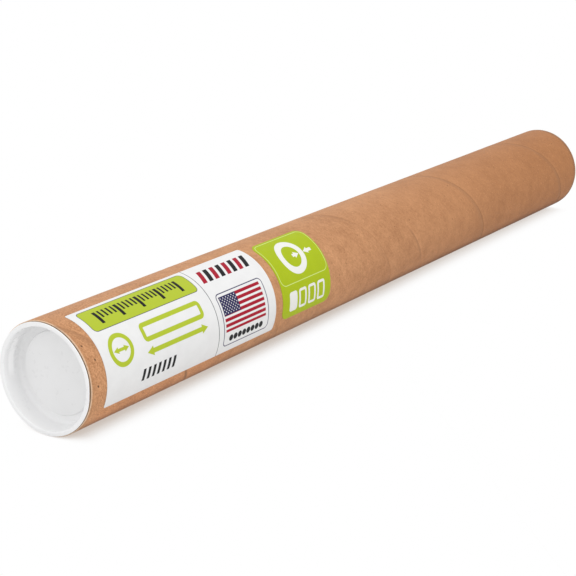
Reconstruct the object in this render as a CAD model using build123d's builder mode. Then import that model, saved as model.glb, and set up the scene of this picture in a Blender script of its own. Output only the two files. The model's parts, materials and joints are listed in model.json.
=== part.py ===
"""Spiral-wound kraft mailing tube with a push-in plastic cap in each end and two paper labels.

The tube lies on its side along X, with its near end, beside the labels, at -X.
The origin is on the surface that it lies on, under the middle of its length. Sizes are in millimetres.
Angles round the tube start at the top and grow towards the labels' side, -Y.
"""

import math
import os

from build123d import *

# Paper tube: a two inch bore, a wall of sixty thousandths and a length of twenty inches
tube_bore = 50.8
tube_wall = 1.524
tube_length = 508.0

# Underside: the slight flat that the board takes where the tube lies, within its roundness
rest_flat_width = 6.0

# Seam: the gap that the outer kraft strip leaves between its turns, as deep as that strip
seam_pitch = 114.6
seam_gap = 0.4
seam_depth = 0.25
seam_angle = 15.4

# End cap: a cup with a flange that covers the cut end of the tube
flange_inset = 0.42
flange_thickness = 0.8
flange_gap = 0.25
flange_edge_round = 0.35
mouth_round = 0.7
plug_clearance = 0.1
plug_wall = 1.0
plug_draft = 2.0
plug_lead_in = 1.4
recess_depth = 10.0
recess_round = 3.4
floor_thickness = 1.2
panel_inset = 1.7
panel_rise = 0.25

# Labels: thin paper on a film of glue
label_paper = 0.1
label_glue = 0.05
label_spacing = 6.3

size_label_offset = 10.3
size_label_length = 131.7
size_label_width = 51.5
size_label_angle = 61.9
size_label_corner = 1.2

grade_label_length = 44.9
grade_label_width = 46.0
grade_label_angle = 60.8
grade_label_corner = 5.0

# Places worked out from the sizes above
tube_radius = tube_bore / 2 + tube_wall
axis_height = math.sqrt(tube_radius**2 - (rest_flat_width / 2) ** 2)
near_end = -tube_length / 2
grade_label_offset = size_label_offset + size_label_length + label_spacing


def cross_plane(distance, angle):
    """The plane across the tube at a distance from its near end, its local X pointing out at an angle."""
    turn = math.radians(angle)
    return Plane(
        origin=(near_end + distance, 0, axis_height),
        x_dir=(0, -math.sin(turn), math.cos(turn)),
        z_dir=(1, 0, 0),
    )


def wrapped_label(offset, length, width, angle, corner):
    """A paper label that follows the outside of the tube: a thick sector, rounded and then bored out."""
    inner = tube_radius + label_glue
    outer = inner + label_paper
    spread = math.degrees(width / inner)
    plane = cross_plane(offset, angle)
    with BuildPart() as label:
        with BuildSketch(plane):
            with BuildLine():
                printed = CenterArc((0, 0), outer, -spread / 2, spread)
                core = CenterArc((0, 0), outer - corner, -spread / 2, spread)
                Line(core @ 0, printed @ 0)
                Line(core @ 1, printed @ 1)
            make_face()
        extrude(amount=length)
        corner_edges = label.edges().filter_by(GeomType.LINE).filter_by(Axis.X, reverse=True)
        fillet(corner_edges, radius=corner)
        with BuildSketch(plane):
            Circle(inner)
        extrude(amount=length, mode=Mode.SUBTRACT)
    return label.part


# Seam: a helix that runs off both ends of the tube
seam_overrun = seam_pitch / 8
seam_lead = 360 * seam_overrun / seam_pitch
with BuildLine() as winding:
    Helix(seam_pitch, tube_length + 2 * seam_overrun, tube_radius)
seam = winding.line.moved(cross_plane(-seam_overrun, seam_angle - seam_lead).location)
seam_start = seam @ 0
seam_outward = seam_start - Vector(seam_start.X, 0, axis_height)

# Tube
with BuildPart() as tube:
    with BuildSketch(cross_plane(0, 0)):
        Circle(tube_radius)
        Circle(tube_bore / 2, mode=Mode.SUBTRACT)
    extrude(amount=tube_length)
    with BuildSketch(Plane(origin=seam_start, x_dir=seam_outward, z_dir=seam % 0)):
        Rectangle(2 * seam_depth, seam_gap)
    sweep(path=seam, is_frenet=True, mode=Mode.SUBTRACT)
    split(bisect_by=Plane.XY, keep=Keep.TOP)

# Near cap: half of its section, revolved about the tube's axis
rim_face = -(flange_gap + flange_thickness)
recess_floor = rim_face + recess_depth
plug_end = recess_floor + floor_thickness
taper = math.tan(math.radians(plug_draft))
flange_radius = tube_radius - flange_inset
plug_radius = tube_bore / 2 - plug_clearance
plug_end_radius = plug_radius - (plug_end + flange_gap) * taper
mouth_radius = plug_radius - plug_wall
recess_radius = mouth_radius - recess_depth * taper
panel_face = recess_floor - panel_rise
panel_radius = recess_radius - recess_round - panel_inset
edge_round = min(flange_edge_round, 0.45 * flange_thickness)

section_points = [
    (panel_face, 0),
    (panel_face, panel_radius),
    (recess_floor, panel_radius + panel_rise),
    (recess_floor, recess_radius),
    (rim_face, mouth_radius),
    (rim_face, flange_radius),
    (-flange_gap, flange_radius),
    (-flange_gap, plug_radius),
    (plug_end, plug_end_radius),
    (plug_end, 0),
]
section_rounds = [0, 0, recess_round, mouth_round, edge_round, edge_round, 0, plug_lead_in]

with BuildPart() as near_end_cap:
    with BuildSketch(Plane(origin=(near_end, 0, axis_height), x_dir=(1, 0, 0), z_dir=(0, -1, 0))):
        with BuildLine():
            FilletPolyline(*section_points, radius=section_rounds)
            Line(section_points[-1], section_points[0])
        make_face()
    revolve(axis=Axis((0, 0, axis_height), (1, 0, 0)))

# Far cap: the same cap, turned to face the other way
with BuildPart() as far_end_cap:
    mirror(near_end_cap.part, about=Plane.YZ)

# Labels
size_label = wrapped_label(
    size_label_offset, size_label_length, size_label_width, size_label_angle, size_label_corner
)
grade_label = wrapped_label(
    grade_label_offset, grade_label_length, grade_label_width, grade_label_angle, grade_label_corner
)

# One file for each piece
pieces = {
    "tube": tube.part,
    "near_end_cap": near_end_cap.part,
    "far_end_cap": far_end_cap.part,
    "size_label": size_label,
    "grade_label": grade_label,
}
os.makedirs("parts", exist_ok=True)
for name, piece in pieces.items():
    piece.label = name
    export_step(piece, f"parts/{name}.step")
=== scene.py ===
"""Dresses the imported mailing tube: wound kraft board, moulded end caps and printed paper labels.

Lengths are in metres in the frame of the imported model: X runs along the tube from its labelled end, Z is up
and the floor is at zero. Angles round the tube start at the top and grow towards the labels, which face -Y.
Print is laid out in millimetres from a label's upper corner at the near end.
"""

import json
import logging
import math
from collections.abc import Iterable, Sequence
from dataclasses import dataclass
from enum import Enum, IntEnum
from typing import Any

import bmesh
import bpy
from mathutils import Matrix, Vector, noise


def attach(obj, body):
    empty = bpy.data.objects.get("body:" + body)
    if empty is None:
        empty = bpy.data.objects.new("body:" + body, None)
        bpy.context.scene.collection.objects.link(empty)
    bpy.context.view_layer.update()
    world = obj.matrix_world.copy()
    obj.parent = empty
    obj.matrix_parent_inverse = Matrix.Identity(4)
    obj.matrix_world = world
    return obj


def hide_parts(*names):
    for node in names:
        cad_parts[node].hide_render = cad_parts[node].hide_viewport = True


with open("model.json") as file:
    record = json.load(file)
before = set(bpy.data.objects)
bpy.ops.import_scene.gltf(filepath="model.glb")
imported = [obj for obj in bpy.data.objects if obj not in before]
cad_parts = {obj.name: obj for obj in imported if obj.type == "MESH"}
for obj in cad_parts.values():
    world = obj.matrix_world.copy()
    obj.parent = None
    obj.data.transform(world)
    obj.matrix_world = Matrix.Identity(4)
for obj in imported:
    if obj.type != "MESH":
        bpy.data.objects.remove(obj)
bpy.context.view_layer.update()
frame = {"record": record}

log = logging.getLogger("mailing_tube")

MM = 0.001
TURN = 2 * math.pi
CUT_TOLERANCE = 1e-8

Point2 = tuple[float, float]
Point3 = tuple[float, float, float]
Colour = tuple[float, float, float]
Marks = tuple[tuple[float, ...], ...]


class End(Enum):
    """The two ends of the tube, as the direction along X that each faces."""

    NEAR = -1
    FAR = 1


class BoardFace(IntEnum):
    """The faces of the board, in the order of the tube's material slots."""

    OUTSIDE = 0
    CUT = 1
    BORE = 2


class Signal:
    """A value on a shader socket that takes part in Python arithmetic."""

    def __init__(self, graph: "ShaderGraph", socket: bpy.types.NodeSocket) -> None:
        """Wraps one output socket of a graph."""
        self.graph = graph
        self.socket = socket

    def __add__(self, other: "Signal | float") -> "Signal":
        """The sum."""
        return self.graph.math("ADD", self, other)

    def __sub__(self, other: "Signal | float") -> "Signal":
        """The difference."""
        return self.graph.math("SUBTRACT", self, other)

    def __rsub__(self, other: float) -> "Signal":
        """The difference, with the number first."""
        return self.graph.math("SUBTRACT", other, self)

    def __mul__(self, other: "Signal | float") -> "Signal":
        """The product."""
        return self.graph.math("MULTIPLY", self, other)

    def __truediv__(self, other: "Signal | float") -> "Signal":
        """The quotient."""
        return self.graph.math("DIVIDE", self, other)

    def __mod__(self, other: float) -> "Signal":
        """What is left over, never below zero."""
        return self.graph.math("FLOORED_MODULO", self, other)

    def __abs__(self) -> "Signal":
        """The size without its sign."""
        return self.graph.math("ABSOLUTE", self)

    __radd__ = __add__
    __rmul__ = __mul__

    def least(self, other: "Signal | float") -> "Signal":
        """The smaller of the two values."""
        return self.graph.math("MINIMUM", self, other)

    def most(self, other: "Signal | float") -> "Signal":
        """The larger of the two values."""
        return self.graph.math("MAXIMUM", self, other)

    def root(self) -> "Signal":
        """The square root."""
        return self.graph.math("SQRT", self)

    def ease(self, start: float, end: float) -> "Signal":
        """Goes softly from 0 where the value is start to 1 where it is end, which may be below start."""
        sockets = {"Value": self, "From Min": start, "From Max": end}
        return self.graph.value("ShaderNodeMapRange", {"interpolation_type": "SMOOTHSTEP"}, sockets)

    def hump(self, start: float, full: float, fall: float, end: float) -> "Signal":
        """Goes softly from 0 at start to 1 at full, and from 1 at fall back to 0 at end."""
        return self.ease(start, full) * self.ease(end, fall)


Operand = Signal | float


class ShaderGraph:
    """The node tree of a material or of the world."""

    def __init__(self, owner: bpy.types.Material | bpy.types.World) -> None:
        """Empties the owner's node tree.

        Args:
            owner: the material or the world
        """
        self.owner = owner
        owner.use_nodes = True
        self.tree = owner.node_tree
        self.tree.nodes.clear()

    @classmethod
    def of_material(cls, name: str) -> "ShaderGraph":
        """The empty node tree of a new material."""
        return cls(bpy.data.materials.new(name))

    @staticmethod
    def find(sockets: Iterable[bpy.types.NodeSocket], key: str) -> bpy.types.NodeSocket:
        """The socket with that identifier or name."""
        return next(socket for socket in sockets if key in (socket.identifier, socket.name))

    def node(self, kind: str, settings: dict[str, Any], sockets: dict[str, Any]) -> bpy.types.Node:
        """Adds a node.

        Args:
            kind: Blender's name for the node's type
            settings: properties of the node, set first
            sockets: values and signals for its inputs, by identifier or name

        Returns:
            The new node.
        """
        node = self.tree.nodes.new(kind)
        for key, value in settings.items():
            setattr(node, key, value)
        for key, value in sockets.items():
            socket = self.find(node.inputs, key)
            if isinstance(value, Signal):
                self.tree.links.new(value.socket, socket)
            elif socket.type == "RGBA":
                socket.default_value = (*value, 1.0)
            else:
                socket.default_value = value
        return node

    def value(
        self, kind: str, settings: dict[str, Any], sockets: dict[str, Any], output: str = ""
    ) -> Signal:
        """Adds a node and wraps one of its outputs, the first unless another is named."""
        outputs = self.node(kind, settings, sockets).outputs
        return Signal(self, self.find(outputs, output) if output else outputs[0])

    def math(self, operation: str, *values: Operand) -> Signal:
        """Adds a Math node."""
        sockets = dict(zip(("Value", "Value_001"), values))
        return self.value("ShaderNodeMath", {"operation": operation}, sockets)

    def blend(
        self, share: Operand, first: Signal | Colour, second: Signal | Colour, way: str = "MIX"
    ) -> Signal:
        """Mixes two colours.

        Args:
            share: share of the second colour, from 0 to 1
            first: first colour
            second: second colour
            way: Blender's name for the way of mixing

        Returns:
            The mixed colour.
        """
        sockets = {"Factor_Float": share, "A_Color": first, "B_Color": second}
        settings = {"data_type": "RGBA", "blend_type": way}
        return self.value("ShaderNodeMix", settings, sockets, "Result_Color")

    def stain(self, share: Operand, colour: Signal, shade: Colour) -> Signal:
        """Multiplies a colour by a shade, where the share is 1."""
        return self.blend(share, colour, shade, "MULTIPLY")

    def vector(self, operation: str, first: Signal, second: Point3) -> Signal:
        """Adds a Vector Math node."""
        sockets = {"Vector": first, "Vector_001": second}
        return self.value("ShaderNodeVectorMath", {"operation": operation}, sockets, "Vector")

    def stretch(self, vector: Signal, scale: Point3) -> Signal:
        """Multiplies a vector by a scale for each axis."""
        return self.vector("MULTIPLY", vector, scale)

    def shift(self, vector: Signal, along: float, across: float) -> Signal:
        """Moves a vector in its first two axes."""
        return self.vector("ADD", vector, (along, across, 0.0))

    def parts(self, vector: Signal) -> tuple[Signal, Signal, Signal]:
        """The three components of a vector."""
        outputs = self.node("ShaderNodeSeparateXYZ", {}, {"Vector": vector}).outputs
        return Signal(self, outputs[0]), Signal(self, outputs[1]), Signal(self, outputs[2])

    def map_of(self, name: str) -> Signal:
        """The coordinates that a named UV map gives."""
        return self.value("ShaderNodeUVMap", {"uv_map": name}, {})

    def place(self) -> Signal:
        """The coordinates in the piece's own frame, in metres."""
        return self.value("ShaderNodeTexCoord", {}, {}, "Object")

    def clouds(self, vector: Signal, size: float, detail: float = 2.0, roughness: float = 0.5) -> Signal:
        """Soft noise about one half.

        Args:
            vector: coordinates
            size: width of its largest features, in the coordinates' unit
            detail: octaves
            roughness: weight of the finer octaves

        Returns:
            The noise, from about 0.2 to 0.8.
        """
        sockets = {"Vector": vector, "Scale": 1 / size, "Detail": detail, "Roughness": roughness}
        return self.value("ShaderNodeTexNoise", {"noise_dimensions": "3D"}, sockets)

    def flecks(self, vector: Signal, cell: float, radius: float, share: float) -> Signal:
        """Scattered round spots, at most one in each cell.

        Args:
            vector: coordinates
            cell: spacing of the spots
            radius: radius of the largest spots
            share: share of the cells that hold one

        Returns:
            A mask that is 1 in the middle of a spot and 0 between spots.
        """
        smallest = 0.35
        core = 0.35
        onset = 0.02
        sockets = {"Vector": vector, "Scale": 1 / cell, "Randomness": 1.0}
        settings = {"voronoi_dimensions": "2D", "feature": "F1"}
        outputs = self.node("ShaderNodeTexVoronoi", settings, sockets).outputs
        distance = Signal(self, self.find(outputs, "Distance"))
        chance, size, _ = self.parts(Signal(self, self.find(outputs, "Color")))
        spread = (smallest + (1 - smallest) * size) * (radius / cell)
        return (distance / spread).ease(1.0, core) * chance.ease(1 - share, 1 - share + onset)

    def bump(self, height: Signal, depth: float) -> Signal:
        """The normal of a surface with a fine relief, where a height of 1 stands for that depth."""
        return self.value("ShaderNodeBump", {}, {"Height": height, "Distance": depth, "Strength": 1.0})

    def output(self, shader: Signal) -> bpy.types.Material | bpy.types.World:
        """Sends a shader to the output of the tree.

        Args:
            shader: the shader

        Returns:
            The owner of the tree.
        """
        of_world = isinstance(self.owner, bpy.types.World)
        kind = "ShaderNodeOutputWorld" if of_world else "ShaderNodeOutputMaterial"
        self.node(kind, {}, {"Surface": shader})
        return self.owner

    def surface(self, **sockets: Any) -> bpy.types.Material:
        """Ends the tree with a Principled shader, with spaces in socket names written as underscores."""
        named = {key.replace("_", " "): value for key, value in sockets.items()}
        return self.output(self.value("ShaderNodeBsdfPrincipled", {}, named))


def reach(first: Signal, second: Signal) -> Signal:
    """The length of a diagonal over two sides."""
    return (first * first + second * second).root()


def tinted(colour: Colour, tint: Colour) -> Colour:
    """A colour multiplied by a tint."""
    return (colour[0] * tint[0], colour[1] * tint[1], colour[2] * tint[2])


def scaled(colour: Colour, factor: float) -> Colour:
    """A colour made lighter or darker."""
    return tinted(colour, (factor, factor, factor))


@dataclass(frozen=True)
class KraftPaper:
    """Unbleached paper on a wound strip: clouds, flocs and fibres along the strip, specks and a soft seam.

    Places and sizes on the strip are in millimetres, and tints are shares of another colour.

    Attributes:
        name: name of the material
        base: mean colour
        strip_width: width of the strip, from seam to seam
        half_length: distance from the middle of the tube to its cut ends, in metres
        specks: places of single dark specks
        creases: places of short creases along the strip, each with the strength of its painted shade
        mottle: strength of the paper's unevenness
        darkest: tint of the darkest clouds
        lightest: tint of the lightest clouds
        rust: tint of the rusty specks
        far_shade_and_tint: painted shade towards the far end, with a more saturated tint
        painted_end_light: painted light on the strip beside the near cap
        painted_underside_shade: painted shade on the underside, low by the floor
        painted_foot_light: painted light low on the sides by the near end
        painted_foot_shade: painted shade low on the sides by the far end
        wear_and_highlight: colour of the pale fibres along a cut edge, partly wear and partly a painted
            highlight
        floc: size of the fibre clumps
        fibre: thickness of the fibres
        grain: size of the finest grain
        relief: depth of the relief, in metres
        roughness: mean roughness
    """

    name: str
    base: Colour
    strip_width: float
    half_length: float
    specks: Marks = ()
    creases: Marks = ()
    mottle: float = 1.25
    darkest: Colour = (0.72, 0.66, 0.60)
    lightest: Colour = (1.28, 1.34, 1.40)
    rust: Colour = (0.72, 0.46, 0.40)
    far_shade_and_tint: Colour = (0.80, 0.685, 0.53)
    painted_end_light: Colour = (1.10, 1.11, 1.12)
    painted_underside_shade: Colour = (0.60, 0.57, 0.55)
    painted_foot_light: Colour = (1.17, 1.10, 1.06)
    painted_foot_shade: Colour = (0.87, 0.83, 0.78)
    wear_and_highlight: Colour = (0.80, 0.60, 0.43)
    floc: float = 2.0
    fibre: float = 1.5
    grain: float = 0.9
    relief: float = 0.1 * MM
    roughness: float = 0.78

    def material(self) -> bpy.types.Material:
        """Builds the material on the strip's own coordinates.

        Returns:
            The material.
        """
        graph = ShaderGraph.of_material(self.name)
        strip = graph.map_of("strip")
        floc = graph.clouds(graph.stretch(strip, (0.85, 1.0, 1.0)), self.floc, detail=3.0, roughness=0.6)
        fibre = graph.clouds(graph.stretch(strip, (0.16, 1.7, 1.0)), self.fibre)
        grain = graph.clouds(strip, self.grain)
        x, _, height = graph.parts(graph.place())
        along = x / self.half_length
        colour = self.clouded(strip, along, floc, fibre, grain)
        colour = self.lit(colour, along, height)
        colour = self.cut_edges(colour, along, floc)
        colour = self.speckled(colour, strip)
        colour = self.seamed(colour, strip, along)
        colour = self.creased(colour, strip)
        return graph.surface(
            Base_Color=colour,
            Roughness=self.roughness + 0.3 * (floc - 0.5),
            Normal=graph.bump(0.4 * floc + 0.06 * fibre + 0.3 * grain, self.relief),
            Specular_IOR_Level=0.16,
            Sheen_Weight=0.07,
            Sheen_Roughness=0.5,
        )

    def clouded(self, strip: Signal, along: Signal, floc: Signal, fibre: Signal, grain: Signal) -> Signal:
        """The mottled paper, crisper towards the near end.

        Args:
            strip: place on the strip
            along: place along the tube, from -1 at the near end to 1 at the far end
            floc: noise of the fibre clumps
            fibre: noise of the fibres
            grain: finest noise

        Returns:
            The colour of the paper.
        """
        graph = strip.graph
        broad = graph.clouds(strip, 34.0)
        patch = graph.clouds(graph.stretch(strip, (0.85, 1.0, 1.0)), 7.0, detail=3.0)
        crisp = 0.6 + 0.8 * along.ease(-0.4, -0.95)
        uneven = 0.5 * (broad - 0.5) + 0.55 * (patch - 0.5) + 0.7 * (floc - 0.5)
        uneven = uneven + 0.06 * (fibre - 0.5) + crisp * (grain - 0.5)
        strength = self.mottle * (1 - 0.35 * along.ease(-0.25, 0.45))
        tone = (0.5 + strength * uneven).ease(-0.15, 1.15)
        return graph.blend(tone, tinted(self.base, self.darkest), tinted(self.base, self.lightest))

    def lit(self, colour: Signal, along: Signal, height: Signal) -> Signal:
        """Paints light and shade into the paper along the tube and low on its sides.

        Args:
            colour: the paper's colour
            along: place along the tube, from -1 to 1
            height: height above the floor, in metres

        Returns:
            The tinted colour.
        """
        low_by_near_end = along.ease(-0.5, -0.68) * along.ease(-1.0, -0.94)
        # Painted shade and a more saturated tint towards the far end, painted light by the near cap and low
        # by the near end, painted shade on the underside and low by the far end
        tints = (
            (along.ease(-0.45, 1.05), self.far_shade_and_tint),
            (along.ease(-0.93, -1.0), self.painted_end_light),
            (height.ease(11 * MM, 4 * MM), self.painted_underside_shade),
            (height.ease(17 * MM, 12.5 * MM) * low_by_near_end, self.painted_foot_light),
            (height.ease(12.5 * MM, 8.5 * MM) * along.ease(-0.3, 0.35), self.painted_foot_shade),
        )
        for share, tint in tints:
            colour = colour.graph.stain(share, colour, tint)
        return colour

    def cut_edges(self, colour: Signal, along: Signal, floc: Signal) -> Signal:
        """Darkens a band beside each cut end and a rim by the far end, and paints pale fibres along the cut
        edges, partly wear and partly a painted highlight.

        Args:
            colour: the paper's colour
            along: place along the tube, from -1 to 1
            floc: noise of the fibre clumps

        Returns:
            The colour with its darker bands and pale cut edges.
        """
        graph = colour.graph
        left = (1 - abs(along)) * (self.half_length / MM)
        far = 0.5 * along.ease(0.9, 1.0)
        clumps = floc - 0.4
        # Darker rim by the far end
        colour = graph.blend(0.5 * along.ease(0.982, 0.996), colour, scaled(self.base, 0.42))
        # Darker band a little way in from each cut end, stronger by the far end
        end_band = (0.14 + far + 0.4 * clumps) * left.hump(0.5, 0.9, 1.2, 2.6)
        colour = graph.blend(end_band, colour, scaled(self.base, 0.6))
        # Pale fibres along each cut edge, partly wear and partly a painted highlight on the rounded edge
        fray_and_highlight = (0.5 - far + 0.9 * clumps) * left.ease(0.7, 0.35)
        return graph.blend(fray_and_highlight, colour, self.wear_and_highlight)

    def speckled(self, colour: Signal, strip: Signal) -> Signal:
        """Adds pale, rusty and dark specks.

        Args:
            colour: the paper's colour
            strip: place on the strip

        Returns:
            The speckled colour.
        """
        graph = colour.graph
        pale = graph.flecks(graph.shift(strip, 31.0, 7.0), cell=2.6, radius=0.5, share=0.5)
        colour = graph.blend(0.34 * pale, colour, scaled(self.base, 1.5))
        rusty = graph.flecks(graph.stretch(strip, (0.55, 1.0, 1.0)), cell=5.5, radius=0.6, share=0.4)
        colour = graph.blend(0.42 * rusty, colour, tinted(self.base, self.rust))
        dark = graph.flecks(graph.shift(strip, 3.0, 53.0), cell=11.0, radius=0.45, share=0.3)
        for along, across in self.specks:
            run, beside, _ = graph.parts(graph.shift(strip, -along, -across))
            spot = (run * run * 0.5 + beside * beside).root().ease(0.58, 0.3)
            dark = dark.most(spot)
        return graph.blend(0.88 * dark, colour, scaled(self.base, 0.16))

    def seamed(self, colour: Signal, strip: Signal, along: Signal) -> Signal:
        """Paints a dark line along the seam, partly a dark joint and partly painted shade, a painted
        highlight on the lifted edge after it and painted shade on the falling edge before it, more in some
        places than in others.

        Args:
            colour: the paper's colour
            strip: place on the strip
            along: place along the tube, from -1 to 1

        Returns:
            The colour with its seam.
        """
        graph = colour.graph
        patchy = graph.clouds(graph.shift(strip, 9.0, 4.0), 24.0).ease(0.38, 0.62)
        patchy = 0.4 * patchy + 0.6 * along.ease(0.0, 0.24) + 0.9 * along.ease(-0.93, -0.98)
        past = graph.parts(strip)[1] % self.strip_width
        left = self.strip_width - past
        # Dark line along the seam, partly a dark joint and partly painted shade
        line = (0.03 + 0.3 * patchy) * past.least(left).ease(1.1, 0.1)
        colour = graph.blend(line, colour, scaled(self.base, 0.45))
        # Painted highlight on the lifted edge after the seam
        colour = graph.blend(0.1 * past.hump(0.2, 0.6, 0.6, 3.6), colour, scaled(self.base, 1.25))
        # Painted shade on the falling edge before the seam
        before = (0.06 + 0.36 * patchy) * left.hump(0.2, 0.5, 0.5, 4.5)
        return graph.blend(before, colour, scaled(self.base, 0.62))

    def creased(self, colour: Signal, strip: Signal) -> Signal:
        """Adds the short creases as painted shade with a painted highlight on one edge.

        Args:
            colour: the paper's colour
            strip: place on the strip

        Returns:
            The creased colour.
        """
        graph = colour.graph
        for along, across, strength in self.creases:
            run, beside, _ = graph.parts(graph.shift(strip, -along, -across))
            within = abs(run).ease(17.0, 9.0)
            # Painted shade along the crease
            dark = strength * within * abs(beside).ease(1.2, 0.2)
            colour = graph.blend(dark, colour, scaled(self.base, 0.5))
            # Painted highlight on one side of it
            pale = 0.2 * within * beside.hump(0.6, 1.2, 1.4, 3.4)
            colour = graph.blend(pale, colour, scaled(self.base, 1.4))
        return colour


@dataclass(frozen=True)
class CutBoard:
    """The cut end of the board, with its plies as rings.

    Attributes:
        axis_height: height of the tube's axis
        outer_radius: outer radius of the board
        ply: thickness of a ply
        base: colour of the inner plies, dark partly as painted shade under the flange
        skin: colour of the outer ply, pale partly as a painted highlight on its rounded edge
    """

    axis_height: float
    outer_radius: float
    ply: float = 0.38 * MM
    base: Colour = (0.40, 0.265, 0.165)
    skin: Colour = (0.80, 0.60, 0.43)

    def material(self) -> bpy.types.Material:
        """Builds the material on the distance from the axis.

        Returns:
            The material.
        """
        graph = ShaderGraph.of_material("cut_board")
        place = graph.place()
        _, y, z = graph.parts(place)
        depth = (self.outer_radius - reach(y, z - self.axis_height)) / self.ply
        wander = 0.25 * (graph.clouds(place, 5 * MM) - 0.5)
        within = (depth + wander) % 1.0
        glue = within.least(1.0 - within).ease(0.16, 0.04)
        fibre = graph.clouds(place, 0.35 * MM, detail=4.0, roughness=0.7)
        # The inner plies are dark partly as painted shade under the flange; the pale outer ply is partly a
        # painted highlight on its rounded edge
        colour = graph.blend(fibre.ease(0.25, 0.75), scaled(self.base, 0.78), scaled(self.base, 1.18))
        colour = graph.blend(0.45 * glue, colour, scaled(self.base, 0.45))
        colour = graph.blend(depth.ease(1.1, 0.8), colour, self.skin)
        return graph.surface(
            Base_Color=colour,
            Roughness=0.9 + 0.08 * (fibre - 0.5),
            Normal=graph.bump(fibre - 0.5 * glue, 0.08 * MM),
            Specular_IOR_Level=0.2,
        )


@dataclass(frozen=True)
class MouldedPlastic:
    """White moulded polyethylene with a soft gloss, with painted shade in the recesses and a painted
    highlight on the wall of each recess.

    Attributes:
        axis_height: height of the caps' axis
        rim_place: distance of the rims from the middle of the tube
        panel_radius: radius of the panels in the recesses
        base: colour of the rims
        recess: tint of the painted shade in a recess
        pale: colour of the painted highlight streak on the wall of a recess
        highlight_depth: depth of that painted highlight below the rim
        highlight_height: height of the highlight's middle above the axis
        ring: spacing of the rings of the turned mould
        gloss: roughness of the clean surface
    """

    axis_height: float
    rim_place: float
    panel_radius: float
    base: Colour = (0.915, 0.915, 0.917)
    recess: Colour = (0.92, 0.92, 0.92)
    pale: Colour = (0.99, 0.99, 0.992)
    highlight_depth: float = 4.9 * MM
    highlight_height: float = 6 * MM
    ring: float = 0.9 * MM
    gloss: float = 0.3

    def material(self) -> bpy.types.Material:
        """Builds the material, with faint flow clouds and the rings of a turned mould.

        Returns:
            The material.
        """
        graph = ShaderGraph.of_material("white_plastic_moulded")
        place = graph.place()
        x, y, z = graph.parts(place)
        height = z - self.axis_height
        radius = reach(y, height)
        depth = self.rim_place - abs(x)
        flow = graph.clouds(place, 14 * MM)
        haze = graph.clouds(place, 2.2 * MM, detail=3.0)
        colour = graph.blend(flow.ease(0.3, 0.7), scaled(self.base, 0.985), scaled(self.base, 1.01))
        panel = radius.ease(self.panel_radius + 0.3 * MM, self.panel_radius)
        # Painted shade below the mouth of the recess: over the panel, heavier towards -Y, and on the walls,
        # heavier towards the top
        painted_recess_shade = panel * (0.5 + 0.9 * y.ease(14 * MM, -14 * MM))
        painted_recess_shade = painted_recess_shade + 0.75 * (1 - panel) * height.ease(-16 * MM, 6 * MM)
        colour = graph.stain(depth.ease(0.5 * MM, 3.5 * MM) * painted_recess_shade, colour, self.recess)
        # A painted highlight streak on the wall of the recess, on the +Y side
        mark = abs(depth - self.highlight_depth).ease(2.4 * MM, 0.8 * MM) * y.ease(15 * MM, 20 * MM)
        mark = mark * abs(height - self.highlight_height).ease(13 * MM, 6 * MM)
        colour = graph.blend(mark, colour, self.pale)
        rings = graph.math("SINE", radius * (TURN / self.ring))
        return graph.surface(
            Base_Color=colour,
            Roughness=self.gloss + 0.16 * (haze - 0.5) + 0.1 * (flow - 0.5),
            Normal=graph.bump(0.6 * haze + 0.04 * rings, 0.025 * MM),
            Specular_IOR_Level=0.35,
        )


@dataclass(frozen=True)
class Rect:
    """A rectangle of print in millimetres, from its left and upper edges to its right and lower edges."""

    left: float
    top: float
    right: float
    bottom: float

    @property
    def width(self) -> float:
        """Length of its upper edge."""
        return self.right - self.left

    @property
    def height(self) -> float:
        """Length of its side edges."""
        return self.bottom - self.top

    @property
    def middle(self) -> Point2:
        """Its middle."""
        return ((self.left + self.right) / 2, (self.top + self.bottom) / 2)

    def inset(self, margin: float) -> "Rect":
        """The rectangle made smaller by a margin on every side."""
        return Rect(self.left + margin, self.top + margin, self.right - margin, self.bottom - margin)


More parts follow.
